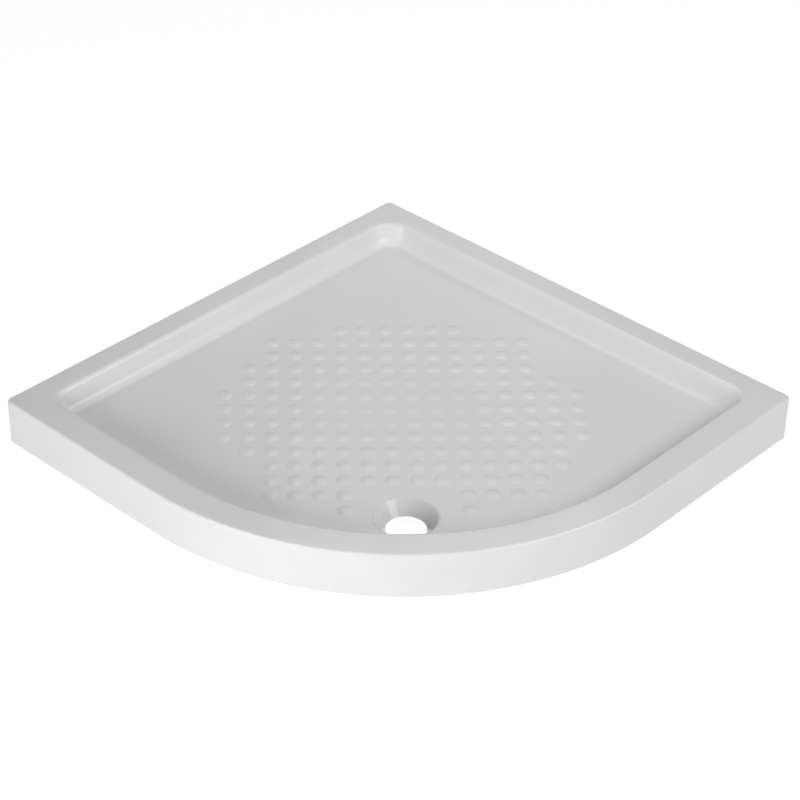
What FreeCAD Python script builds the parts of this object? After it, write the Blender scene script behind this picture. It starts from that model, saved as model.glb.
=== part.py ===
import FreeCAD, Part
import math
import os

os.makedirs("parts", exist_ok=True)

V = FreeCAD.Vector
UP = V(0, 0, 1)

# Plan and height of the tray, in mm. The two straight sides go against the walls.
SIDE = 900.0
FRONT_R = 550.0
HEIGHT = 80.0
CORNER_R = 10.0
TOP_EDGE_R = 4.0
FOOT_EDGE_R = 2.0

# Rim and basin. Rim widths are taken to the sharp corner that the lip's rounding replaces.
RIM_AT_WALLS = 46.0
RIM_AT_FRONT = 55.0
LIP_R = 10.0
WALL_DRAFT = math.radians(15.0)
COVE_R = 18.0
BACK_CORNER_R = 46.0
SIDE_CORNER_R = 32.0

# Floor: a shallow cone that falls to the waste from all sides.
WASTE_FROM_FRONT = 150.0
FLOOR_AT_WASTE = 36.0
FALL = 0.010

# Wall thickness of the casting and the ribs under its floor.
SKIN = 12.0
SKIRT = 14.0
RIB = 9.0
RIB_PITCH = 92.0

# Studs of the floor, on a square grid that is turned with the tray's diagonal.
STUD_PITCH = 38.7
STUD_R = 13.5
STUD_H = 2.0
STUD_ROOT = 1.5
FIRST_ROW_FROM_CORNER = 375.0
# The grid's middle lies this far to the right of the tray's axis.
GRID_SHIFT = 2.4
# Studs left and right of the axis in each row, from the back row to the waste.
STUD_ROWS = [(3, 3), (6, 6), (6, 6), (7, 6), (7, 7), (8, 8), (8, 8),
             (8, 8), (8, 8), (7, 7), (6, 7), (6, 6), (6, 6), (3, 3)]
# Free floor that the studs leave to the waste's rim and to the foot of the basin's wall.
STUD_CLEAR = 25.0
# The studs are lower in the middle: first row, last row, studs each side of the axis, height.
STUD_ZONES = [(6, 7, 3, 0.8), (4, 9, 4, 1.3)]

# Waste: recess in the ceramic, funnel flange, body and seals, all about one upright axis.
THROAT_R = 32.7
THROAT_FOOT = 12.5
FUNNEL_R = 50.0
FLANGE_R = 52.0
FLANGE_DROP = 0.1
FLANGE_GAP = 0.15
FLANGE_EDGE_R = 0.3
MOUTH_ROUND = 3.0
LIP_DROP = 0.4
RIM_T = 7.3
FUNNEL_WALL = 3.1
SLEEVE_R = 42.0
SLEEVE_WALL = 2.5
THREAD_TOP = 22.0
SEAT_SEAL_T = 1.5
SLIP_T = 0.8
BORE_R = 46.0
BORE_GAP = 0.6
BOSS_R = 66.0
BOSS_FOOT = 14.0
BODY_SEAL_T = 2.0
COLLAR_R = 60.0
COLLAR_T = 4.0
BODY_FOOT = 3.0
BODY_WALL = 2.6
THREAD_GAP = 0.05
NECK_GAP = 1.0
PIPE_R = 45.0
PIPE_GAP = 0.15
PIPE_STOP = 10.0
RING_LOW = 5.0
RING_T = 3.0
RING_DEPTH = 3.2
SEAL_MARGIN = 0.6
WRENCH_NOTCHES = 4
NOTCH_W = 8.0
NOTCH_DEPTH = 3.0

# Values that follow from the sizes above.
HALF = SIDE / 2
ARC_X = -HALF + SIDE - FRONT_R
ARC_Y = -ARC_X
BACK = V(-HALF, HALF, 0)
FORWARD = V(1, -1, 0).normalize()
ACROSS = V(1, 1, 0).normalize()
WASTE = V(ARC_X, ARC_Y, 0) + FORWARD * (FRONT_R - WASTE_FROM_FRONT)
LIP_R_OUT = FLANGE_R + FLANGE_GAP + LIP_DROP
DECK = FLOOR_AT_WASTE
FLANGE_TOP = DECK - FLANGE_DROP
FLANGE_FOOT = FLANGE_TOP - RIM_T
SLIP_FOOT = FLANGE_FOOT - SLIP_T
SEAT = SLIP_FOOT - SEAT_SEAL_T
SEAL_R = BORE_R + SEAL_MARGIN
NECK_R = BORE_R - BORE_GAP
NECK_TOP = THREAD_TOP - NECK_GAP
COLLAR_TOP = BOSS_FOOT - BODY_SEAL_T
SOCKET_R = PIPE_R + PIPE_GAP


def floor_height(x, y):
    """Height of the floor's cone at a plan point."""
    return DECK + FALL * (math.hypot(x - WASTE.x, y - WASTE.y) - LIP_R_OUT)


def outline(at_walls, at_front, back_r, side_r, z):
    """Closed wire of the tray's plan, set in by the given widths, with rounded corners."""
    left = -HALF + at_walls
    back = HALF - at_walls
    right = HALF - at_front
    front = -HALF + at_front
    arc_r = FRONT_R - at_front
    diag = math.sqrt(0.5)

    def corner(x, y, dx, dy, r):
        centre = V(x + dx * r, y + dy * r, z)
        ends = [V(x, y + dy * r, z), V(x + dx * r, y, z)]
        middle = centre - V(dx * r * diag, dy * r * diag, 0)
        return ends, middle

    (a0, a1), am = corner(left, back, 1, -1, back_r)
    (b1, b0), bm = corner(right, back, -1, -1, side_r)
    (e1, e0), em = corner(left, front, 1, 1, side_r)
    c0 = V(right, ARC_Y, z)
    c1 = V(ARC_X, front, z)
    cm = V(ARC_X + arc_r * diag, ARC_Y - arc_r * diag, z)
    edges = [
        Part.LineSegment(a1, b0).toShape(),
        Part.Arc(b0, bm, b1).toShape(),
        Part.LineSegment(b1, c0).toShape(),
        Part.Arc(c0, cm, c1).toShape(),
        Part.LineSegment(c1, e0).toShape(),
        Part.Arc(e0, em, e1).toShape(),
        Part.LineSegment(e1, a0).toShape(),
        Part.Arc(a0, am, a1).toShape(),
    ]
    return Part.Wire(edges)


def prism(wire, height):
    return Part.Face(wire).extrude(V(0, 0, height))


def turned(points, centre):
    """Solid of revolution about an upright axis from a closed (radius, height) profile."""
    wire = Part.makePolygon([V(r, 0, z) for r, z in points + points[:1]])
    solid = Part.Face(wire).revolve(V(0, 0, 0), UP, 360)
    solid.translate(V(centre.x, centre.y, 0))
    return solid


def ring(inner, outer, low, high, centre):
    return turned([(inner, low), (outer, low), (outer, high), (inner, high)], centre)


def above_floor(drop):
    """Everything above the floor's cone, lowered by the drop."""
    reach = 2 * SIDE
    low = DECK - drop - FALL * LIP_R_OUT
    return turned([(0, low), (reach, low + FALL * reach), (reach, 2 * HEIGHT), (0, 2 * HEIGHT)], WASTE)


def basin(grow):
    """The basin's hollow, or with a growth the same hollow plus a wall of that thickness."""
    slope = math.tan(WALL_DRAFT)
    shift = grow / math.cos(WALL_DRAFT)
    sections = []
    for z in (DECK - COVE_R - grow, HEIGHT + LIP_R):
        inset = (HEIGHT - z) * slope - shift
        sections.append(outline(RIM_AT_WALLS + inset, RIM_AT_FRONT + inset,
                                BACK_CORNER_R - inset, SIDE_CORNER_R - inset, z))
    hollow = Part.makeLoft(sections, True, True).common(above_floor(grow))
    foot = [e for e in hollow.Edges if e.Length > COVE_R and edge_on_floor(e, grow)]
    return hollow.makeFillet(COVE_R + grow, foot)


def edge_on_floor(edge, grow):
    """True for an edge that lies on the floor's cone."""
    for point in edge.discretize(3):
        if abs(point.z - floor_height(point.x, point.y) + grow) > 0.01:
            return False
    return True


def stud_place(row, column):
    """Plan point of a place in the studs' grid."""
    along = FIRST_ROW_FROM_CORNER + row * STUD_PITCH
    return BACK + FORWARD * along + ACROSS * (GRID_SHIFT + column * STUD_PITCH)


def stud(centre, height):
    """Domed stud standing square on the floor."""
    ball_r = (STUD_R ** 2 + height ** 2) / (2 * height)
    root = math.degrees(math.asin((ball_r - height - STUD_ROOT * height) / ball_r))
    cap = Part.makeSphere(ball_r, V(0, 0, height - ball_r), UP, root, 90, 360)
    slope = V(WASTE.x - centre.x, WASTE.y - centre.y, 0).normalize() * FALL
    cap.Placement = FreeCAD.Placement(V(centre.x, centre.y, floor_height(centre.x, centre.y)),
                                      FreeCAD.Rotation(UP, UP + slope))
    return cap


def stud_height(row, column):
    """The studs get lower towards the middle of the floor."""
    for first, last, reach, height in STUD_ZONES:
        if first <= row <= last and abs(column) < reach:
            return height
    return STUD_H


def studs():
    """Studs of the grid that have room on the floor beside the waste and the wall's foot."""
    margin = STUD_R + STUD_CLEAR
    foot = (HEIGHT - DECK) * math.tan(WALL_DRAFT) + COVE_R + margin
    room = prism(outline(RIM_AT_WALLS + foot, RIM_AT_FRONT + foot, BACK_CORNER_R, SIDE_CORNER_R, 0), DECK)
    caps = []
    for row, (left, right) in enumerate(STUD_ROWS):
        for column in [-i - 0.5 for i in range(left)] + [i + 0.5 for i in range(right)]:
            centre = stud_place(row, column)
            beside_waste = centre.distanceToPoint(WASTE) > FLANGE_R + margin
            if beside_waste and room.isInside(centre + UP, 0.01, True):
                caps.append(stud(centre, stud_height(row, column)))
    return caps


def ribs():
    """Upright ribs under the floor in both directions, kept clear of the waste."""
    bars = []
    count = int(HALF // RIB_PITCH)
    for i in range(-count, count + 1):
        across = Part.makeBox(RIB, SIDE, HEIGHT, V(i * RIB_PITCH - RIB / 2, -HALF, 0))
        along = Part.makeBox(SIDE, RIB, HEIGHT, V(-HALF, i * RIB_PITCH - RIB / 2, 0))
        bars += [across, along]
    clear = Part.makeCylinder(COLLAR_R + BOSS_FOOT, BOSS_FOOT, V(WASTE.x, WASTE.y, 0))
    return bars[0].multiFuse(bars[1:]).cut(clear)


def tray_body():
    shell = prism(outline(0, 0, CORNER_R, CORNER_R, 0), HEIGHT)
    top = [e for e in shell.Edges if e.BoundBox.ZMin > HEIGHT - 0.01]
    foot = [e for e in shell.Edges if e.BoundBox.ZMax < 0.01]
    shell = shell.makeFillet(TOP_EDGE_R, top).makeFillet(FOOT_EDGE_R, foot)
    shell = shell.cut(basin(0))
    lip = [e for e in shell.Edges if e.BoundBox.ZMin > HEIGHT - 0.01 and inside_rim(e)]
    shell = shell.makeFillet(LIP_R, lip)
    under = prism(outline(SKIRT, SKIRT, CORNER_R, CORNER_R, 0), HEIGHT - SKIN)
    under = under.cut(basin(SKIN)).cut(ribs())
    boss = Part.makeCylinder(BOSS_R, DECK - BOSS_FOOT, V(WASTE.x, WASTE.y, BOSS_FOOT))
    shell = shell.cut(under.cut(boss))
    shell = shell.cut(waste_recess())
    return shell.multiFuse(studs())


def inside_rim(edge):
    """True for a top edge on the basin's side of the rim."""
    middle = RIM_AT_WALLS / 2
    box = prism(outline(middle, middle, BACK_CORNER_R, SIDE_CORNER_R, 0), HEIGHT + LIP_R)
    return box.isInside(edge.discretize(3)[1], 0.01, True)


def waste_recess():
    """Counterbore with a rounded edge, seat and bore that are cut through the floor for the waste."""
    recess_r = FLANGE_R + FLANGE_GAP
    lip = Part.makeTorus(LIP_R_OUT, LIP_DROP, V(WASTE.x, WASTE.y, DECK - LIP_DROP))
    well = ring(0, LIP_R_OUT, DECK - LIP_DROP, DECK + LIP_DROP, WASTE).cut(lip)
    recess = ring(0, recess_r, SEAT, DECK, WASTE)
    bore = ring(0, BORE_R, 0, DECK, WASTE)
    return well.multiFuse([recess, bore])


def waste_flange():
    """Funnel whose rim lies in the recess, with the threaded sleeve that goes down into the bore."""
    slope = (FLANGE_TOP - THROAT_FOOT) / (FUNNEL_R - THROAT_R)
    tip_r = THROAT_R + FUNNEL_WALL
    groove_r = SLEEVE_R - SLEEVE_WALL
    groove_top = THROAT_FOOT + slope * (groove_r - tip_r)
    flange = turned([(FLANGE_R, FLANGE_FOOT), (FLANGE_R, FLANGE_TOP), (FUNNEL_R, FLANGE_TOP),
                     (THROAT_R, THROAT_FOOT), (tip_r, THROAT_FOOT), (groove_r, groove_top),
                     (groove_r, THROAT_FOOT), (SLEEVE_R, THROAT_FOOT), (SLEEVE_R, THREAD_TOP),
                     (SEAL_R, FLANGE_FOOT)], WASTE)
    rim = [e for e in flange.Edges if on_circle(e, FLANGE_R, FLANGE_TOP)]
    mouth = [e for e in flange.Edges if on_circle(e, FUNNEL_R, FLANGE_TOP)]
    return flange.makeFillet(MOUTH_ROUND, mouth).makeFillet(FLANGE_EDGE_R, rim)


def on_circle(edge, radius, z):
    """True for a level circle about the waste's axis."""
    box = edge.BoundBox
    return abs(box.XLength - 2 * radius) < 0.01 and abs(box.ZMin - z) < 0.01 and abs(box.ZMax - z) < 0.01


def waste_body():
    """Threaded neck in the bore, notched collar under the boss and socket for the trap's inlet."""
    groove_r = SOCKET_R + RING_DEPTH
    foot_r = groove_r + BODY_WALL
    ring_high = RING_LOW + RING_T
    thread_r = SLEEVE_R + THREAD_GAP
    collar_foot = COLLAR_TOP - COLLAR_T
    body = turned([(SOCKET_R, BODY_FOOT), (SOCKET_R, RING_LOW), (groove_r, RING_LOW), (groove_r, ring_high),
                   (SOCKET_R, ring_high), (SOCKET_R, PIPE_STOP), (thread_r, PIPE_STOP), (thread_r, NECK_TOP),
                   (NECK_R, NECK_TOP), (NECK_R, COLLAR_TOP), (COLLAR_R, COLLAR_TOP), (COLLAR_R, collar_foot),
                   (foot_r, collar_foot), (foot_r, BODY_FOOT)], WASTE)
    notches = []
    for i in range(WRENCH_NOTCHES):
        notch = Part.makeBox(2 * NOTCH_DEPTH, NOTCH_W, COLLAR_T, V(COLLAR_R - NOTCH_DEPTH, -NOTCH_W / 2, collar_foot))
        notch.rotate(V(0, 0, 0), UP, i * 360 / WRENCH_NOTCHES)
        notch.translate(V(WASTE.x, WASTE.y, 0))
        notches.append(notch)
    return body.cut(notches)


nodes = {
    "tray_body": tray_body(),
    "waste_flange": waste_flange(),
    "slip_ring": ring(SEAL_R, FLANGE_R - SEAL_MARGIN, SLIP_FOOT, FLANGE_FOOT, WASTE),
    "flange_seal": ring(SEAL_R, FLANGE_R - SEAL_MARGIN, SEAT, SLIP_FOOT, WASTE),
    "waste_body": waste_body(),
    "body_seal": ring(SEAL_R, COLLAR_R - SEAL_MARGIN, COLLAR_TOP, BOSS_FOOT, WASTE),
    "outlet_seal": ring(SOCKET_R, SOCKET_R + RING_DEPTH, RING_LOW, RING_LOW + RING_T, WASTE),
}
for name, shape in nodes.items():
    print(name, shape.isValid(), len(shape.Solids), round(shape.Volume / 1000, 1), "cm3")
    shape.exportStep("parts/" + name + ".step")
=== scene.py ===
import logging
import math
from dataclasses import dataclass, field
from enum import Enum

import bpy
import numpy as np
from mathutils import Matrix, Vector
from mathutils.bvhtree import BVHTree
from mathutils.geometry import delaunay_2d_cdt


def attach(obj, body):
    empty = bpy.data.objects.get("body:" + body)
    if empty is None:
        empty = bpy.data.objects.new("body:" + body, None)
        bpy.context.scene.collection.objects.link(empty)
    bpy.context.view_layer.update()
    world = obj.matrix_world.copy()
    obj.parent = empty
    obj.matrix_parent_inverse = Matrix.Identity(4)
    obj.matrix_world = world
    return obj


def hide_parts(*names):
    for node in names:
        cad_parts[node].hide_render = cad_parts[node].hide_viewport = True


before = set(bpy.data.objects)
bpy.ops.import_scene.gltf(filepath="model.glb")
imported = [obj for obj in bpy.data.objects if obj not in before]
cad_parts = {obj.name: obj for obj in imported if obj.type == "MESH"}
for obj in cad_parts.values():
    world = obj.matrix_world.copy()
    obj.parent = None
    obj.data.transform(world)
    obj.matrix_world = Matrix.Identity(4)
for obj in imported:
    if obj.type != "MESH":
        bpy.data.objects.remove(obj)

LOG = logging.getLogger("shower_tray")
MM = 0.001
VALUE_SOCKET = "NodeSocketFloat"
# What the triangle filler keeps, and how close its points may lie in millimetres.
KEEP_INSIDE = 1
SAME_PLACE = 1e-5


class Slot(Enum):
    """Material slots of the part's record."""

    CERAMIC = "glazed_ceramic"
    WHITE = "white_plastic"
    NATURAL = "natural_plastic"
    GREY = "grey_plastic"
    RUBBER = "black_rubber"


class NodeBench:
    """Adds nodes to one shader tree and joins them."""

    # Numbers of the Mix node's sockets for colours.
    MASK, FIRST, SECOND, MIXED = 0, 6, 7, 2

    def __init__(self, tree: bpy.types.NodeTree) -> None:
        """Keeps the tree that the nodes go into."""
        self.tree = tree

    def add(self, kind: str, inputs: dict | None = None, **settings: object) -> bpy.types.Node:
        """Adds one node.

        Args:
            kind: Blender's type name of the node.
            inputs: Values for its input sockets, by socket name or number.
            settings: Properties of the node itself.

        Returns:
            The new node.
        """
        node = self.tree.nodes.new(kind)
        for name, value in settings.items():
            setattr(node, name, value)
        for socket, value in (inputs or {}).items():
            node.inputs[socket].default_value = value
        return node

    def join(self, source: bpy.types.NodeSocket, target: bpy.types.NodeSocket) -> None:
        """Joins an output to an input."""
        self.tree.links.new(source, target)

    def maths(self, operation: str, first: bpy.types.NodeSocket,
              second: bpy.types.NodeSocket | float) -> bpy.types.NodeSocket:
        """Works out one value from two.

        Args:
            operation: Name of the Math node's operation.
            first: Output that feeds the first value.
            second: Output or plain number for the second value.

        Returns:
            The result's socket.
        """
        node = self.add("ShaderNodeMath", operation=operation)
        self.join(first, node.inputs[0])
        if isinstance(second, (int, float)):
            node.inputs[1].default_value = second
        else:
            self.join(second, node.inputs[1])
        return node.outputs[0]

    def spread(self, value: bpy.types.NodeSocket, low: float, high: float,
               from_low: float = 0.0, from_high: float = 1.0) -> bpy.types.NodeSocket:
        """Maps a value smoothly from one span to another.

        Args:
            value: Output to map.
            low: Result at the lower end.
            high: Result at the upper end.
            from_low: Value at the lower end.
            from_high: Value at the upper end.

        Returns:
            The mapped value's socket.
        """
        node = self.add("ShaderNodeMapRange", interpolation_type="SMOOTHSTEP",
                        inputs={"From Min": from_low, "From Max": from_high, "To Min": low, "To Max": high})
        self.join(value, node.inputs["Value"])
        return node.outputs["Result"]

    def blend(self, mask: bpy.types.NodeSocket, first: tuple | bpy.types.NodeSocket,
              second: tuple) -> bpy.types.NodeSocket:
        """Mixes two colours by a mask.

        Args:
            mask: Output that is 0 for the first colour and 1 for the second.
            first: Colour, or an output that gives it.
            second: Colour at full mask.

        Returns:
            The mixed colour's socket.
        """
        node = self.add("ShaderNodeMix", data_type="RGBA")
        self.join(mask, node.inputs[self.MASK])
        if isinstance(first, tuple):
            node.inputs[self.FIRST].default_value = (*first, 1.0)
        else:
            self.join(first, node.inputs[self.FIRST])
        node.inputs[self.SECOND].default_value = (*second, 1.0)
        return node.outputs[self.MIXED]


class SurfaceEffects:
    """Node groups that several finishes share, each built once."""

    # Parts of the noise's span that the masks are stretched over.
    TONE_SPAN = (0.3, 0.7)
    BREAK_SPAN = (0.35, 0.6)
    WEAKEST_BREAK = 0.5

    def __init__(self) -> None:
        """Builds the groups."""
        self.wander = self._wander()
        self.edges = self._edges()

    @staticmethod
    def _group(name: str, inputs: dict[str, float],
               outputs: tuple[str, ...]) -> tuple[bpy.types.NodeTree, NodeBench]:
        """Starts a group with named sockets, each for one value.

        Args:
            name: Name of the group.
            inputs: Default of each value that goes in.
            outputs: Names of the values that come out.

        Returns:
            The group's tree and a bench on it.
        """
        tree = bpy.data.node_groups.new(name, "ShaderNodeTree")
        for label, value in inputs.items():
            socket = tree.interface.new_socket(label, in_out="INPUT", socket_type=VALUE_SOCKET)
            socket.default_value = value
        for label in outputs:
            tree.interface.new_socket(label, in_out="OUTPUT", socket_type=VALUE_SOCKET)
        return tree, NodeBench(tree)

    def _wander(self) -> bpy.types.NodeTree:
        """Slow swell of a surface with a finer ripple on it, as an even mask and a height.

        Returns:
            The group's tree.
        """
        tree, bench = self._group("surface_wander", {"Swell": 20.0, "Ripple": 200.0, "Ripple Share": 0.3},
                                  ("Mask", "Height"))
        given = bench.add("NodeGroupInput")
        place = bench.add("ShaderNodeTexCoord")
        waves = []
        for label, detail in (("Swell", 2.0), ("Ripple", 3.0)):
            noise = bench.add("ShaderNodeTexNoise", inputs={"Detail": detail, "Roughness": 0.5})
            bench.join(place.outputs["Object"], noise.inputs["Vector"])
            bench.join(given.outputs[label], noise.inputs["Scale"])
            waves.append(noise.outputs["Fac"])
        share = bench.maths("MULTIPLY", waves[1], given.outputs["Ripple Share"])
        height = bench.maths("ADD", waves[0], share)
        result = bench.add("NodeGroupOutput")
        bench.join(bench.spread(waves[0], 0.0, 1.0, *self.TONE_SPAN), result.inputs["Mask"])
        bench.join(height, result.inputs["Height"])
        return tree

    def _edges(self) -> bpy.types.NodeTree:
        """Mask of the outer edges, broken up a little along their run.

        Returns:
            The group's tree.
        """
        tree, bench = self._group("edge_thinning", {"Start": 0.52, "Full": 0.62, "Breaks": 60.0}, ("Mask",))
        given = bench.add("NodeGroupInput")
        shape = bench.add("ShaderNodeNewGeometry")
        span = bench.add("ShaderNodeMapRange", interpolation_type="SMOOTHSTEP")
        bench.join(shape.outputs["Pointiness"], span.inputs["Value"])
        bench.join(given.outputs["Start"], span.inputs["From Min"])
        bench.join(given.outputs["Full"], span.inputs["From Max"])
        place = bench.add("ShaderNodeTexCoord")
        noise = bench.add("ShaderNodeTexNoise", inputs={"Detail": 2.0})
        bench.join(place.outputs["Object"], noise.inputs["Vector"])
        bench.join(given.outputs["Breaks"], noise.inputs["Scale"])
        broken = bench.spread(noise.outputs["Fac"], self.WEAKEST_BREAK, 1.0, *self.BREAK_SPAN)
        result = bench.add("NodeGroupOutput")
        bench.join(bench.maths("MULTIPLY", span.outputs["Result"], broken), result.inputs["Mask"])
        return tree


class Finish:
    """Start of a finish: a material with its shader and a bench for its nodes."""

    def __init__(self, name: str) -> None:
        """Makes the material.

        Args:
            name: Name of the material.
        """
        self.material = bpy.data.materials.new(name)
        self.material.use_nodes = True
        self.bench = NodeBench(self.material.node_tree)
        self.shader = self.material.node_tree.nodes["Principled BSDF"]

    def group(self, tree: bpy.types.NodeTree, **values: float) -> bpy.types.Node:
        """Places a shared group with values of its own.

        Args:
            tree: The group.
            values: Values of its inputs, with underscores for spaces.

        Returns:
            The group's node.
        """
        node = self.bench.add("ShaderNodeGroup", node_tree=tree)
        for label, value in values.items():
            node.inputs[label.replace("_", " ")].default_value = value
        return node

    def feed(self, socket: str, source: bpy.types.NodeSocket) -> None:
        """Joins an output to a socket of the shader."""
        self.bench.join(source, self.shader.inputs[socket])

    def fix(self, **values: float) -> None:
        """Sets plain values on the shader, with underscores for spaces in the socket names."""
        for label, value in values.items():
            self.shader.inputs[label.replace("_", " ")].default_value = value

    def swell(self, height: bpy.types.NodeSocket, depth: float) -> None:
        """Lifts the surface by a height.

        Args:
            height: Output that gives the height from 0 to 1.
            depth: Height in metres at 1.
        """
        bump = self.bench.add("ShaderNodeBump", inputs={"Strength": 1.0, "Distance": depth})
        self.bench.join(height, bump.inputs["Height"])
        self.feed("Normal", bump.outputs["Normal"])

    def coat(self, wander: bpy.types.Node, edge: bpy.types.Node, body: bpy.types.NodeSocket,
             worn: tuple[float, float, float], roughness: tuple[float, float], depth: float) -> None:
        """Gives the surface its colour with worn edges, its gloss and its relief.

        Args:
            wander: Group that gives the tone's mask and the relief.
            edge: Group that gives the edges' mask.
            body: Output that gives the colour between the edges.
            worn: Colour on the edges.
            roughness: Roughness at both ends of the tone's mask.
            depth: Depth of the relief in metres.
        """
        self.feed("Base Color", self.bench.blend(edge.outputs["Mask"], body, worn))
        self.feed("Roughness", self.bench.spread(wander.outputs["Mask"], *roughness))
        self.swell(wander.outputs["Height"], depth)


@dataclass(frozen=True)
class GlazeFinish:
    """White glaze: even and glossy, with a slow swell and a thinner coat on the outer edges."""

    colour: tuple[float, float, float] = (0.80, 0.80, 0.80)
    pooled: tuple[float, float, float] = (0.785, 0.785, 0.787)
    thin: tuple[float, float, float] = (0.83, 0.83, 0.825)
    roughness: tuple[float, float] = (0.16, 0.21)
    swell_depth: float = 0.00012

    def material(self, effects: SurfaceEffects) -> bpy.types.Material:
        """Builds the material.

        Args:
            effects: Shared node groups.

        Returns:
            The finished material.
        """
        finish = Finish("white_glaze")
        wander = finish.group(effects.wander, Swell=11.0, Ripple=170.0, Ripple_Share=0.02)
        edge = finish.group(effects.edges, Start=0.51, Full=0.58, Breaks=35.0)
        body = finish.bench.blend(wander.outputs["Mask"], self.colour, self.pooled)
        finish.coat(wander, edge, body, self.thin, self.roughness, self.swell_depth)
        finish.fix(IOR=1.5)
        return finish.material


@dataclass(frozen=True)
class BareClayFinish:
    """Unglazed fired clay of the underside: matt, buff, with coarse grit."""

    colour: tuple[float, float, float] = (0.60, 0.55, 0.47)
    scorched: tuple[float, float, float] = (0.52, 0.46, 0.38)
    grit: tuple[float, float, float] = (0.30, 0.25, 0.20)
    rubbed: tuple[float, float, float] = (0.70, 0.66, 0.59)
    grit_size: float = 900.0
    grit_reach: tuple[float, float] = (0.05, 0.22)
    grit_pick: tuple[float, float] = (0.72, 0.82)
    grit_strength: float = 0.8
    roughness: tuple[float, float] = (0.82, 0.95)
    grain_depth: float = 0.0005

    def material(self, effects: SurfaceEffects) -> bpy.types.Material:
        """Builds the material.

        Args:
            effects: Shared node groups.

        Returns:
            The finished material.
        """
        finish = Finish("bare_fireclay")
        bench = finish.bench
        wander = finish.group(effects.wander, Swell=9.0, Ripple=420.0, Ripple_Share=0.6)
        edge = finish.group(effects.edges, Start=0.52, Full=0.62, Breaks=90.0)
        place = bench.add("ShaderNodeTexCoord")
        grains = bench.add("ShaderNodeTexVoronoi", inputs={"Scale": self.grit_size})
        bench.join(place.outputs["Object"], grains.inputs["Vector"])
        speck = bench.spread(grains.outputs["Distance"], 1.0, 0.0, *self.grit_reach)
        picked = bench.add("ShaderNodeSeparateColor")
        bench.join(grains.outputs["Color"], picked.inputs["Color"])
        rare = bench.spread(picked.outputs["Red"], 0.0, self.grit_strength, *self.grit_pick)
        body = bench.blend(wander.outputs["Mask"], self.colour, self.scorched)
        gritty = bench.blend(bench.maths("MULTIPLY", speck, rare), body, self.grit)
        finish.coat(wander, edge, gritty, self.rubbed, self.roughness, self.grain_depth)
        return finish.material


@dataclass(frozen=True)
class PlasticFinish:
    """Moulded plastic with a faint flow tone, a fine skin and lighter rubbed edges."""

    name: str
    colour: tuple[float, float, float]
    flow: tuple[float, float, float]
    rubbed: tuple[float, float, float]
    roughness: tuple[float, float]
    skin: float
    skin_depth: float

    def material(self, effects: SurfaceEffects) -> bpy.types.Material:
        """Builds the material.

        Args:
            effects: Shared node groups.

        Returns:
            The finished material.
        """
        finish = Finish(self.name)
        wander = finish.group(effects.wander, Swell=55.0, Ripple=self.skin, Ripple_Share=0.5)
        edge = finish.group(effects.edges, Start=0.53, Full=0.66, Breaks=220.0)
        body = finish.bench.blend(wander.outputs["Mask"], self.colour, self.flow)
        finish.coat(wander, edge, body, self.rubbed, self.roughness, self.skin_depth)
        finish.fix(IOR=1.49)
        return finish.material


@dataclass(frozen=True)
class RubberFinish:
    """Black sealing rubber with a dull bloom and fine skin."""

    colour: tuple[float, float, float] = (0.022, 0.022, 0.023)
    bloom: tuple[float, float, float] = (0.055, 0.055, 0.056)
    scuffed: tuple[float, float, float] = (0.10, 0.10, 0.10)
    roughness: tuple[float, float] = (0.55, 0.75)
    skin_depth: float = 0.00006

    def material(self, effects: SurfaceEffects) -> bpy.types.Material:
        """Builds the material.

        Args:
            effects: Shared node groups.

        Returns:
            The finished material.
        """
        finish = Finish("seal_rubber")
        wander = finish.group(effects.wander, Swell=90.0, Ripple=1500.0, Ripple_Share=0.7)
        edge = finish.group(effects.edges, Start=0.53, Full=0.66, Breaks=260.0)
        body = finish.bench.blend(wander.outputs["Mask"], self.colour, self.bloom)
        finish.coat(wander, edge, body, self.scuffed, self.roughness, self.skin_depth)
        finish.fix(IOR=1.52)
        return finish.material


class Skin:
    """Collects points and faces of one piece and turns them into an object."""

    def __init__(self, name: str) -> None:
        """Starts an empty piece.

        Args:
            name: Name of the piece.
        """
        self.name = name
        self.rows: list[np.ndarray] = []
        self.count = 0
        self.faces: list[tuple[int, ...]] = []

    def row(self, points: np.ndarray) -> np.ndarray:
        """Adds points.

        Args:
            points: One point per line, in metres.

        Returns:
            Their numbers in the piece.
        """
        self.rows.append(points)
        self.count += len(points)
        return np.arange(self.count - len(points), self.count)

    def band(self, first: np.ndarray, second: np.ndarray) -> None:
        """Joins two closed rows of the same length by four-sided faces.

        Args:
            first: Numbers of one row.
            second: Numbers of the other row.
        """
        for i in range(len(first)):
            j = (i + 1) % len(first)
            self.faces.append((first[i], second[i], second[j], first[j]))

    def fan(self, row: np.ndarray, tip: int) -> None:
        """Closes a row to one point."""
        for i in range(len(row)):
            self.faces.append((row[i], tip, row[(i + 1) % len(row)]))

    def finish(self, crease_deg: float) -> bpy.types.Object:
        """Makes the object.

        Args:
            crease_deg: Edges bent more than this stay sharp.

        Returns:
            The new object, linked to the scene.
        """
        mesh = bpy.data.meshes.new(self.name)
        points = np.concatenate(self.rows)
        mesh.from_pydata(points.tolist(), [], [tuple(int(i) for i in face) for face in self.faces])
        mesh.validate()
        mesh.polygons.foreach_set("use_smooth", [True] * len(mesh.polygons))
        mesh.set_sharp_from_angle(angle=math.radians(crease_deg))
        mesh.update()
        piece = bpy.data.objects.new(self.name, mesh)
        bpy.context.scene.collection.objects.link(piece)
        return piece


def fit(piece: bpy.types.Object, body: str, finish: bpy.types.Material) -> None:
    """Dresses a new piece and puts it on its body.

    Args:
        piece: Object in its place.
        body: Body that it rides on.
        finish: Its material.
    """
    piece.data.materials.append(finish)
    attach(piece, body)
    LOG.info("%s: %d points, %d faces", piece.name, len(piece.data.vertices), len(piece.data.polygons))


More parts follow.
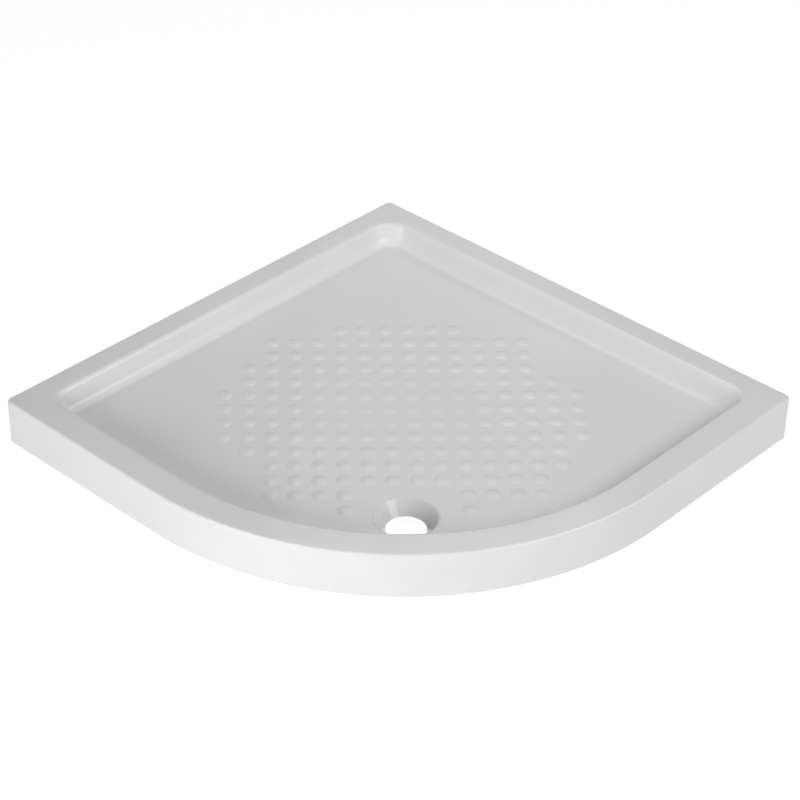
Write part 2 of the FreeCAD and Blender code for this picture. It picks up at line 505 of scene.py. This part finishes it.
@dataclass
class TrayCasting:
    """The fired tray: glazed outside with rim, basin and studs, and a bare ribbed underside."""

    # Body that it rides on.
    body: str = "tray"
    # Outside and rim.
    side: float = 900 * MM
    front_radius: float = 550 * MM
    height: float = 80 * MM
    corner: float = 10 * MM
    top_edge: float = 4 * MM
    foot_edge: float = 2 * MM
    rim_at_walls: float = 46 * MM
    rim_at_front: float = 55 * MM
    # Basin.
    lip: float = 10 * MM
    draft: float = math.radians(15)
    cove: float = 18 * MM
    back_corner: float = 46 * MM
    side_corner: float = 32 * MM
    floor_at_waste: float = 36 * MM
    fall: float = 0.010
    # Seat of the waste.
    waste_from_front: float = 150 * MM
    recess: float = 52.15 * MM
    recess_lip: float = 0.4 * MM
    seat: float = 26.3 * MM
    bore: float = 46 * MM
    boss_foot: float = 14 * MM
    # Studs, on a square grid along the diagonal.
    stud_pitch: float = 38.7 * MM
    stud_radius: float = 13.5 * MM
    stud_blend: float = 0.08
    stud_foot: float = 15 * MM
    stud_rise: float = 2.0 * MM
    first_row: float = 375 * MM
    stud_shift: float = 2.4 * MM
    # Studs on the left and the right of the diagonal, row by row from the back.
    stud_rows: tuple[tuple[int, int], ...] = ((3, 3), (6, 6), (6, 6), (7, 6), (7, 7), (8, 8), (8, 8),
                                              (8, 8), (8, 8), (7, 7), (6, 7), (6, 6), (6, 6), (3, 3))
    # Columns beside the diagonal that a row leaves free for the waste.
    stud_gaps: dict[int, int] = field(default_factory=lambda: {12: 2, 13: 2})
    # First and last row, columns on each side, and rise of the studs that are lower.
    stud_zones: tuple[tuple[int, int, int, float], ...] = ((6, 7, 3, 0.8 * MM), (4, 9, 4, 1.3 * MM))
    # Rings of each stud as shares of its radius, and its ring on the floor as a share of its foot.
    stud_shares: tuple[float, ...] = (1.11, 1.06, 1.02, 0.98, 0.94, 0.88, 0.78, 0.64, 0.48, 0.32, 0.16)
    ring_to_foot: float = 1.06
    # Narrow borders of the floor, and the reaches at which its slope is taken.
    waste_border: float = 1.5 * MM
    floor_borders: tuple[float, float] = (1.5 * MM, 5 * MM)
    slope_probe: tuple[float, float] = (20 * MM, 30 * MM)
    # Loose points between the studs: room round them, middle row and half steps from it.
    loose_room: float = 3 * MM
    loose_row: int = 7
    loose_reach: int = 60
    # Rows of the upright outside, as shares of the height.
    side_shares: tuple[float, float] = (0.3, 0.6)
    # Points along each stretch.
    line_steps: int = 28
    corner_steps: int = 18
    front_steps: int = 110
    foot_steps: int = 6
    edge_steps: int = 9
    lip_steps: int = 12
    cove_steps: int = 16
    recess_steps: int = 10
    ring_steps: int = 96
    stud_steps: int = 32
    # Edges that stay sharp, the reach of the glaze over the solid, and points that are taken as one.
    glazed_crease_deg: float = 50.0
    bare_crease_deg: float = 30.0
    covered: float = 0.6 * MM
    weld: float = 0.001 * MM

    def __post_init__(self) -> None:
        """Works out the waste's place and the directions along the diagonal."""
        half = self.side / 2
        self.back = np.array([-half, half])
        self.forward = np.array([1.0, -1.0]) / math.sqrt(2)
        self.across = np.array([1.0, 1.0]) / math.sqrt(2)
        middle = np.array([half - self.front_radius, self.front_radius - half])
        self.waste = middle + self.forward * (self.front_radius - self.waste_from_front)
        self.lip_outer = self.recess + self.recess_lip

    def floor_height(self, plan: np.ndarray) -> np.ndarray:
        """Height of the floor's shallow cone at plan points."""
        return self.floor_at_waste + self.fall * (np.linalg.norm(plan - self.waste, axis=-1) - self.lip_outer)

    def outline(self, walls: float, front: float, back_r: float,
                side_r: float) -> tuple[np.ndarray, np.ndarray]:
        """Closed plan line of the tray, set in from its edge.

        Args:
            walls: Width set in at the two straight sides.
            front: Width set in at the front.
            back_r: Radius of the back corner.
            side_r: Radius of the two side corners.

        Returns:
            Points of the line and the directions into the tray.
        """
        half = self.side / 2
        left, back, right, low = -half + walls, half - walls, half - front, -half + front
        arc = half - self.front_radius
        points, inward = [], []

        def straight(start: tuple[float, float], end: tuple[float, float],
                     normal: tuple[float, float]) -> None:
            """Adds a straight stretch without its last point.

            Args:
                start: First point.
                end: Point that the next stretch starts from.
                normal: Direction into the tray.
            """
            share = np.arange(self.line_steps)[:, None] / self.line_steps
            points.append(np.array(start) * (1 - share) + np.array(end) * share)
            inward.append(np.tile(np.array(normal, float), (self.line_steps, 1)))

        def bend(centre: tuple[float, float], radius: float, start_deg: float, steps: int) -> None:
            """Adds a clockwise quarter turn without its last point.

            Args:
                centre: Middle of the turn.
                radius: Its radius.
                start_deg: Direction from the middle to its first point.
                steps: Points along it.
            """
            angle = np.radians(start_deg - 90.0 * np.arange(steps) / steps)
            out = np.stack([np.cos(angle), np.sin(angle)], axis=1)
            points.append(np.array(centre) + radius * out)
            inward.append(-out)

        straight((left + back_r, back), (right - side_r, back), (0, -1))
        bend((right - side_r, back - side_r), side_r, 90, self.corner_steps)
        straight((right, back - side_r), (right, -arc), (-1, 0))
        bend((arc, -arc), self.front_radius - front, 0, self.front_steps)
        straight((arc, low), (left + side_r, low), (0, 1))
        bend((left + side_r, low + side_r), side_r, -90, self.corner_steps)
        straight((left, low + side_r), (left, back - back_r), (1, 0))
        bend((left + back_r, back - back_r), back_r, 180, self.corner_steps)
        return np.concatenate(points), np.concatenate(inward)

    def outer_rows(self) -> list[np.ndarray]:
        """Lays out the outside from the foot's flat up to the rim's flat.

        Returns:
            Closed rows of points.
        """
        profile = []
        for angle in np.radians(np.linspace(0, 90, self.foot_steps)):
            profile.append((self.foot_edge * (1 - math.sin(angle)), self.foot_edge * (1 - math.cos(angle))))
        for share in self.side_shares:
            profile.append((0.0, self.height * share))
        for angle in np.radians(np.linspace(0, 90, self.edge_steps)):
            profile.append((self.top_edge * (1 - math.cos(angle)),
                            self.height - self.top_edge * (1 - math.sin(angle))))
        rows = []
        for inset, z in profile:
            plan, _ = self.outline(inset, inset, self.corner - inset, self.corner - inset)
            rows.append(np.column_stack([plan, np.full(len(plan), z)]))
        return rows

    def basin_rows(self) -> list[np.ndarray]:
        """Lays out the basin from the rim's inner edge over the lip and down the wall to the floor.

        Returns:
            Closed rows of points.
        """
        plan, inward = self.outline(self.rim_at_walls, self.rim_at_front, self.back_corner, self.side_corner)
        rows = []

        def add(reach: np.ndarray | float, z: np.ndarray | float) -> None:
            """Adds the row that lies a reach into the tray at a height."""
            reach = np.broadcast_to(reach, len(plan))
            rows.append(np.column_stack([plan + inward * reach[:, None], np.broadcast_to(z, len(plan))]))

        start = self.lip / math.tan((math.pi / 2 + self.draft) / 2)
        for angle in np.linspace(math.pi / 2, self.draft, self.lip_steps):
            add(self.lip * math.cos(angle) - start, self.height - self.lip * (1 - math.sin(angle)))
        near, far = self.slope_probe
        low = self.floor_height(plan + inward * near)
        slope = (self.floor_height(plan + inward * far) - low) / (far - near)
        level = low - slope * near
        # Centre of the cove that touches both the wall and the floor.
        cos, sin = math.cos(self.draft), math.sin(self.draft)
        lift = self.cove * np.sqrt(1 + slope ** 2)
        centre = (self.cove + (self.height - level - lift) * sin) / (cos + slope * sin)
        middle = level + slope * centre + lift
        begin, end = math.pi + self.draft, 1.5 * math.pi + np.arctan(slope)
        for share in np.linspace(0, 1, self.cove_steps):
            angle = begin + (end - begin) * share
            add(centre + self.cove * np.cos(angle), middle + self.cove * np.sin(angle))
        reach = centre + self.cove * np.cos(end)
        for beyond in self.floor_borders:
            add(reach + beyond, self.floor_height(plan + inward * (reach + beyond)[:, None]))
        return rows

    def stud_places(self) -> list[tuple[np.ndarray, float]]:
        """Places the studs row by row from the back.

        Returns:
            Plan point and rise of each stud.
        """
        places = []
        for row, (left, right) in enumerate(self.stud_rows):
            gap = self.stud_gaps.get(row, 0)
            for column in [-i - 0.5 for i in range(gap, left)] + [i + 0.5 for i in range(gap, right)]:
                rise = next((low for first, last, reach, low in self.stud_zones
                             if first <= row <= last and abs(column) < reach), self.stud_rise)
                along = self.first_row + row * self.stud_pitch
                beside = self.stud_shift + column * self.stud_pitch
                places.append((self.back + self.forward * along + self.across * beside, rise))
        return places

    @staticmethod
    def circle(centre: np.ndarray, radius: float, steps: int) -> np.ndarray:
        """Plan points of a circle, clockwise from above."""
        angle = -2 * math.pi * np.arange(steps) / steps
        return centre + radius * np.stack([np.cos(angle), np.sin(angle)], axis=1)

    @staticmethod
    def inside(loop: np.ndarray, point: np.ndarray) -> bool:
        """Tells whether a plan point lies inside a closed plan line.

        Args:
            loop: Points of the line.
            point: The point.

        Returns:
            True for a point inside.
        """
        after = np.roll(loop, -1, axis=0)
        spans = (loop[:, 1] > point[1]) != (after[:, 1] > point[1])
        start, end = loop[spans], after[spans]
        cross = start[:, 0] + (point[1] - start[:, 1]) * (end[:, 0] - start[:, 0]) / (end[:, 1] - start[:, 1])
        return bool(np.count_nonzero(cross > point[0]) % 2)

    def on_floor(self, plan: np.ndarray, rise: float = 0.0) -> np.ndarray:
        """Points on the floor, or above it by a rise."""
        return np.column_stack([plan, self.floor_height(plan) + rise])

    def dome(self, share: float) -> float:
        """Share of a stud's rise at a share of its radius, with the foot blended into the floor."""
        cap = 1 - share ** 2
        return (cap + math.hypot(cap, self.stud_blend)) / 2

    def between_studs(self, loop: np.ndarray) -> np.ndarray:
        """Plan points that keep the floor's faces small.

        Args:
            loop: Clockwise plan line that the points stay inside.

        Returns:
            One plan point per line.
        """
        steps = np.arange(-self.loose_reach, self.loose_reach + 1) * self.stud_pitch / 2
        middle = self.loose_row * self.stud_pitch
        across, along = np.meshgrid(steps + self.stud_shift, steps + self.first_row + middle)
        grid = self.back + along.reshape(-1, 1) * self.forward + across.reshape(-1, 1) * self.across
        side = np.roll(loop, -1, axis=0) - loop
        length = np.linalg.norm(side, axis=1)
        offset = grid[:, None, :] - loop[None, :, :]
        depth = (side[:, 1] * offset[:, :, 0] - side[:, 0] * offset[:, :, 1]) / length
        keep = depth.min(axis=1) > self.loose_room
        for centre, _ in self.stud_places():
            keep &= np.linalg.norm(grid - centre, axis=1) > self.stud_foot + self.loose_room
        keep &= np.linalg.norm(grid - self.waste, axis=1) > self.lip_outer + 2 * self.loose_room
        return grid[keep]

    def stud(self, skin: Skin, row: np.ndarray, centre: np.ndarray, rise: float) -> None:
        """Raises one stud inside its ring on the floor.

        Args:
            skin: Piece that the stud is added to.
            row: Numbers of the ring.
            centre: Plan point of the stud's middle.
            rise: Height of its top above the floor.
        """
        for share in self.stud_shares:
            plan = self.circle(centre, self.stud_radius * share, self.stud_steps)
            inner = skin.row(self.on_floor(plan, rise * self.dome(share)))
            skin.band(row, inner)
            row = inner
        skin.fan(row, int(skin.row(self.on_floor(centre[None, :], rise))[0]))

    def fill(self, skin: Skin, rings: list[np.ndarray], loops: list[np.ndarray]) -> None:
        """Fills the floor between its edge, the waste and the studs.

        Args:
            skin: Piece that the faces are added to.
            rings: Numbers of the closed rows, with the floor's edge first.
            loops: Plan points of the same rows.
        """
        loose = self.between_studs(loops[0])
        numbers = np.concatenate([*rings, skin.row(self.on_floor(loose))])
        owner = np.repeat(np.arange(len(rings) + 1), [*[len(ring) for ring in rings], len(loose)])
        edges, start = [], 0
        for ring in rings:
            edges += [(start + i, start + (i + 1) % len(ring)) for i in range(len(ring))]
            start += len(ring)
        flat = [Vector(point) for point in np.concatenate([*loops, loose]) / MM]
        _, _, triangles, sources, _, _ = delaunay_2d_cdt(flat, edges, [], KEEP_INSIDE, SAME_PLACE, True)
        for triangle in triangles:
            inputs = [sources[i][0] for i in triangle]
            owners = {int(owner[i]) for i in inputs}
            # A triangle on a single ring would close a stud or the waste.
            if len(owners) == 1 and not owners & {0, len(rings)}:
                continue
            # One on the floor's edge alone may lie outside it.
            if owners == {0} and not self.inside(loops[0], loops[0][inputs].mean(axis=0)):
                continue
            skin.faces.append(tuple(int(numbers[i]) for i in inputs))

    def floor(self, skin: Skin, edge: np.ndarray, edge_points: np.ndarray) -> np.ndarray:
        """Lays the floor with its studs inside the cove.

        Args:
            skin: Piece that the floor is added to.
            edge: Numbers of the cove's last row.
            edge_points: The points of that row.

        Returns:
            Numbers of the row round the waste.
        """
        rings, loops = [edge], [edge_points[:, :2]]

        def open_ring(centre: np.ndarray, radius: float, steps: int) -> np.ndarray:
            """Adds a ring that the floor leaves open.

            Args:
                centre: Plan point of its middle.
                radius: Its radius.
                steps: Points along it.

            Returns:
                Numbers of its points.
            """
            plan = self.circle(centre, radius, steps)
            row = skin.row(self.on_floor(plan))
            rings.append(row)
            loops.append(plan)
            return row

        row = open_ring(self.waste, self.lip_outer + self.waste_border, self.ring_steps)
        waste_row = skin.row(self.on_floor(self.circle(self.waste, self.lip_outer, self.ring_steps)))
        skin.band(row, waste_row)
        for centre, rise in self.stud_places():
            row = open_ring(centre, self.stud_foot * self.ring_to_foot, self.stud_steps)
            self.stud(skin, row, centre, rise)
        self.fill(skin, rings, loops)
        return waste_row

    def recess_rows(self, skin: Skin, row: np.ndarray) -> None:
        """Adds the rounded lip, seat and bore of the waste below the floor.

        Args:
            skin: Piece that they are added to.
            row: Numbers of the floor's row round the waste.
        """
        profile = []
        for angle in np.radians(np.linspace(0, 90, self.recess_steps)[1:]):
            profile.append((self.lip_outer - self.recess_lip * math.sin(angle),
                            self.floor_at_waste - self.recess_lip * (1 - math.cos(angle))))
        profile += [(self.recess, self.seat), (self.bore, self.seat), (self.bore, self.boss_foot)]
        for radius, z in profile:
            plan = self.circle(self.waste, radius, self.ring_steps)
            lower = skin.row(np.column_stack([plan, np.full(self.ring_steps, z)]))
            skin.band(row, lower)
            row = lower

    def glazed_outside(self) -> bpy.types.Object:
        """Builds the glazed skin from the foot over the rim and basin to the waste's bore.

        Returns:
            The glazed skin.
        """
        skin = Skin("tray_glazed")
        rows = self.outer_rows() + self.basin_rows()
        before = skin.row(rows[0])
        for points in rows[1:]:
            after = skin.row(points)
            skin.band(before, after)
            before = after
        self.recess_rows(skin, self.floor(skin, before, rows[-1]))
        return skin.finish(self.glazed_crease_deg)

    def bare_underside(self, glazed: bpy.types.Object) -> bpy.types.Object:
        """Builds the underside from the solid's faces that the glazed skin doesn't cover.

        Args:
            glazed: The glazed skin.

        Returns:
            The underside with its ribs, boss and foot.
        """
        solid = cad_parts["tray_body"].data
        near = BVHTree.FromPolygons([vertex.co for vertex in glazed.data.vertices],
                                    [polygon.vertices for polygon in glazed.data.polygons])
        places = np.array([vertex.co for vertex in solid.vertices])
        _, first, joined = np.unique(np.round(places / self.weld), axis=0,
                                     return_index=True, return_inverse=True)
        joined = joined.ravel()
        skin = Skin("tray_underside")
        faces = []
        for polygon in solid.polygons:
            _, _, _, distance = near.find_nearest(polygon.center)
            if distance > self.covered:
                faces.append(tuple(int(joined[i]) for i in polygon.vertices))
        used = sorted({i for face in faces for i in face})
        number = {old: new for new, old in enumerate(used)}
        skin.row(places[first[used]])
        skin.faces = [tuple(number[i] for i in face) for face in faces if len(set(face)) == len(face)]
        return skin.finish(self.bare_crease_deg)

    def build(self, effects: SurfaceEffects) -> None:
        """Builds and dresses both pieces in place of the plain solid.

        Args:
            effects: Shared node groups.
        """
        glazed = self.glazed_outside()
        underside = self.bare_underside(glazed)
        fit(glazed, self.body, GlazeFinish().material(effects))
        fit(underside, self.body, BareClayFinish().material(effects))
        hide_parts("tray_body")
        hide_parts("tray_body")


@dataclass
class WasteFitting:
    """The screw-down waste: flange, slip ring, seals and the body under the floor."""

    flange: PlasticFinish = PlasticFinish(
        "white_moulding", colour=(0.80, 0.80, 0.80), flow=(0.785, 0.785, 0.785), rubbed=(0.84, 0.84, 0.84),
        roughness=(0.09, 0.15), skin=900.0, skin_depth=0.00002)
    slip: PlasticFinish = PlasticFinish(
        "natural_nylon", colour=(0.66, 0.64, 0.57), flow=(0.60, 0.58, 0.50), rubbed=(0.74, 0.73, 0.67),
        roughness=(0.40, 0.52), skin=1200.0, skin_depth=0.00004)
    body: PlasticFinish = PlasticFinish(
        "grey_moulding", colour=(0.36, 0.37, 0.38), flow=(0.32, 0.33, 0.34), rubbed=(0.46, 0.47, 0.48),
        roughness=(0.38, 0.5), skin=1100.0, skin_depth=0.00005)
    seal: RubberFinish = RubberFinish()

    def build(self, effects: SurfaceEffects) -> None:
        """Dresses the solids of the fitting.

        Args:
            effects: Shared node groups.
        """
        rubber = self.seal.material(effects)
        dress = {
            "waste_flange": (self.flange.material(effects), Slot.WHITE),
            "slip_ring": (self.slip.material(effects), Slot.NATURAL),
            "flange_seal": (rubber, Slot.RUBBER),
            "waste_body": (self.body.material(effects), Slot.GREY),
            "body_seal": (rubber, Slot.RUBBER),
            "outlet_seal": (rubber, Slot.RUBBER),
        }
        for name, (material, slot) in dress.items():
            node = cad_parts[name]
            node.data.materials.clear()
            node.data.materials.append(material)
            LOG.info("%s: dressed in %s", name, material.name)


@dataclass(frozen=True)
class Softbox:
    """One square soft lamp of the studio, aimed at the tray."""

    name: str
    place: tuple[float, float, float]
    size: float
    power: float
    glare: bool = True
    aim: tuple[float, float, float] = (0.0, 0.0, 0.05)

    def build(self) -> None:
        """Hangs the lamp and points it at its aim."""
        data = bpy.data.lights.new(self.name, "AREA")
        data.shape = "SQUARE"
        data.size = self.size
        data.energy = self.power
        lamp = bpy.data.objects.new(self.name, data)
        lamp.location = self.place
        lamp.rotation_euler = (Vector(self.aim) - Vector(self.place)).to_track_quat("-Z", "Y").to_euler()
        lamp.visible_glossy = self.glare
        bpy.context.scene.collection.objects.link(lamp)


@dataclass
class Studio:
    """Pale floor, soft light, white surroundings and the camera."""

    floor_size: float = 60.0
    floor_drop: float = 0.0004
    ambient: float = 0.15
    floor_glow: float = 0.94
    floor_tone: float = 0.80
    shade_tone: float = 0.20
    lamps: tuple[Softbox, ...] = (
        Softbox("front_left_box", (0.0, -2.53, 0.63), 1.2, 16.20),
        Softbox("front_box", (1.07, -2.3, 0.63), 1.2, 24.50, glare=False),
        Softbox("front_right_box", (2.1, 0.18, 1.58), 1.2, 13.95),
        Softbox("right_box", (1.82, 1.05, 1.58), 1.2, 12.36),
        Softbox("top_box", (-0.07, 0.07, 1.1), 0.7, 0.40),
        Softbox("corner_box", (-0.25, 0.39, 0.9), 0.7, 1.50),
        Softbox("rear_right_box", (-0.6, 0.81, 0.6), 0.6, 0.40),
        Softbox("rear_left_box", (-0.92, 0.28, 0.6), 0.6, 0.36),
    )
    camera_place: tuple[float, float, float] = (2.15879, -2.37757, 2.29736)
    camera_turn_deg: tuple[float, float, float] = (55.5757, -1.1643, 42.8927)
    camera_lens: float = 108.653
    camera_shift: tuple[float, float] = (-0.00800, -0.01321)
    camera_sensor: float = 36.0
    camera_reach: float = 200.0

    @staticmethod
    def seen(bench: NodeBench) -> bpy.types.NodeSocket:
        """Works out what is seen straight on, in a gloss or through something clear.

        Args:
            bench: Bench on the tree that needs it.

        Returns:
            Socket of a value that is 1 for what is seen.
        """
        path = bench.add("ShaderNodeLightPath").outputs
        beyond = bench.maths("MAXIMUM", path["Is Glossy Ray"], path["Is Transmission Ray"])
        return bench.maths("MAXIMUM", path["Is Camera Ray"], beyond)

    def world(self) -> None:
        """Sets up white surroundings that give the tray only a plain even light."""
        world = bpy.data.worlds.new("studio_air")
        world.use_nodes = True
        bpy.context.scene.world = world
        bench = NodeBench(world.node_tree)
        light = world.node_tree.nodes["Background"]
        light.inputs["Color"].default_value = (1.0, 1.0, 1.0, 1.0)
        bench.join(bench.spread(self.seen(bench), self.ambient, 1.0), light.inputs["Strength"])

    def floor_white(self) -> bpy.types.Material:
        """White of the floor: a glow with a faint shadow where it is seen, and plain white to other light.

        Returns:
            The material.
        """
        material = bpy.data.materials.new("studio_white")
        material.use_nodes = True
        nodes = material.node_tree.nodes
        nodes.remove(nodes["Principled BSDF"])
        bench = NodeBench(material.node_tree)
        bounce = bench.add("ShaderNodeBsdfDiffuse", inputs={"Color": (*[self.floor_tone] * 3, 1.0)})
        shade = bench.add("ShaderNodeBsdfDiffuse", inputs={"Color": (*[self.shade_tone] * 3, 1.0)})
        glow = bench.add("ShaderNodeEmission", inputs={"Strength": self.floor_glow})
        shown = bench.add("ShaderNodeAddShader")
        bench.join(shade.outputs[0], shown.inputs[0])
        bench.join(glow.outputs[0], shown.inputs[1])
        mix = bench.add("ShaderNodeMixShader")
        bench.join(self.seen(bench), mix.inputs[0])
        bench.join(bounce.outputs[0], mix.inputs[1])
        bench.join(shown.outputs[0], mix.inputs[2])
        bench.join(mix.outputs[0], nodes["Material Output"].inputs["Surface"])
        return material

    def floor(self) -> None:
        """Lays a wide white floor that keeps a faint shadow of the tray."""
        half = self.floor_size / 2
        mesh = bpy.data.meshes.new("studio_floor")
        corners = [(-half, -half), (half, -half), (half, half), (-half, half)]
        mesh.from_pydata([(x, y, -self.floor_drop) for x, y in corners], [], [(0, 1, 2, 3)])
        mesh.materials.append(self.floor_white())
        plane = bpy.data.objects.new("studio_floor", mesh)
        bpy.context.scene.collection.objects.link(plane)

    def camera(self) -> None:
        """Sets up the camera at the photograph's viewing angle."""
        data = bpy.data.cameras.new("view")
        data.sensor_width = self.camera_sensor
        data.lens = self.camera_lens
        data.shift_x, data.shift_y = self.camera_shift
        data.clip_end = self.camera_reach
        eye = bpy.data.objects.new("view", data)
        eye.location = self.camera_place
        eye.rotation_euler = [math.radians(a) for a in self.camera_turn_deg]
        bpy.context.scene.collection.objects.link(eye)
        bpy.context.scene.camera = eye

    def build(self) -> None:
        """Builds the whole studio."""
        bpy.context.scene.view_settings.view_transform = "Standard"
        self.world()
        self.floor()
        for lamp in self.lamps:
            lamp.build()
        self.camera()
        LOG.info("studio: %d lamps", len(self.lamps))


def main() -> None:
    """Builds the tray, its waste and the studio."""
    logging.basicConfig(level=logging.INFO, format="%(name)s: %(message)s")
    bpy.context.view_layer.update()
    effects = SurfaceEffects()
    TrayCasting().build(effects)
    WasteFitting().build(effects)
    Studio().build()


if __name__ == "__main__":
    main()
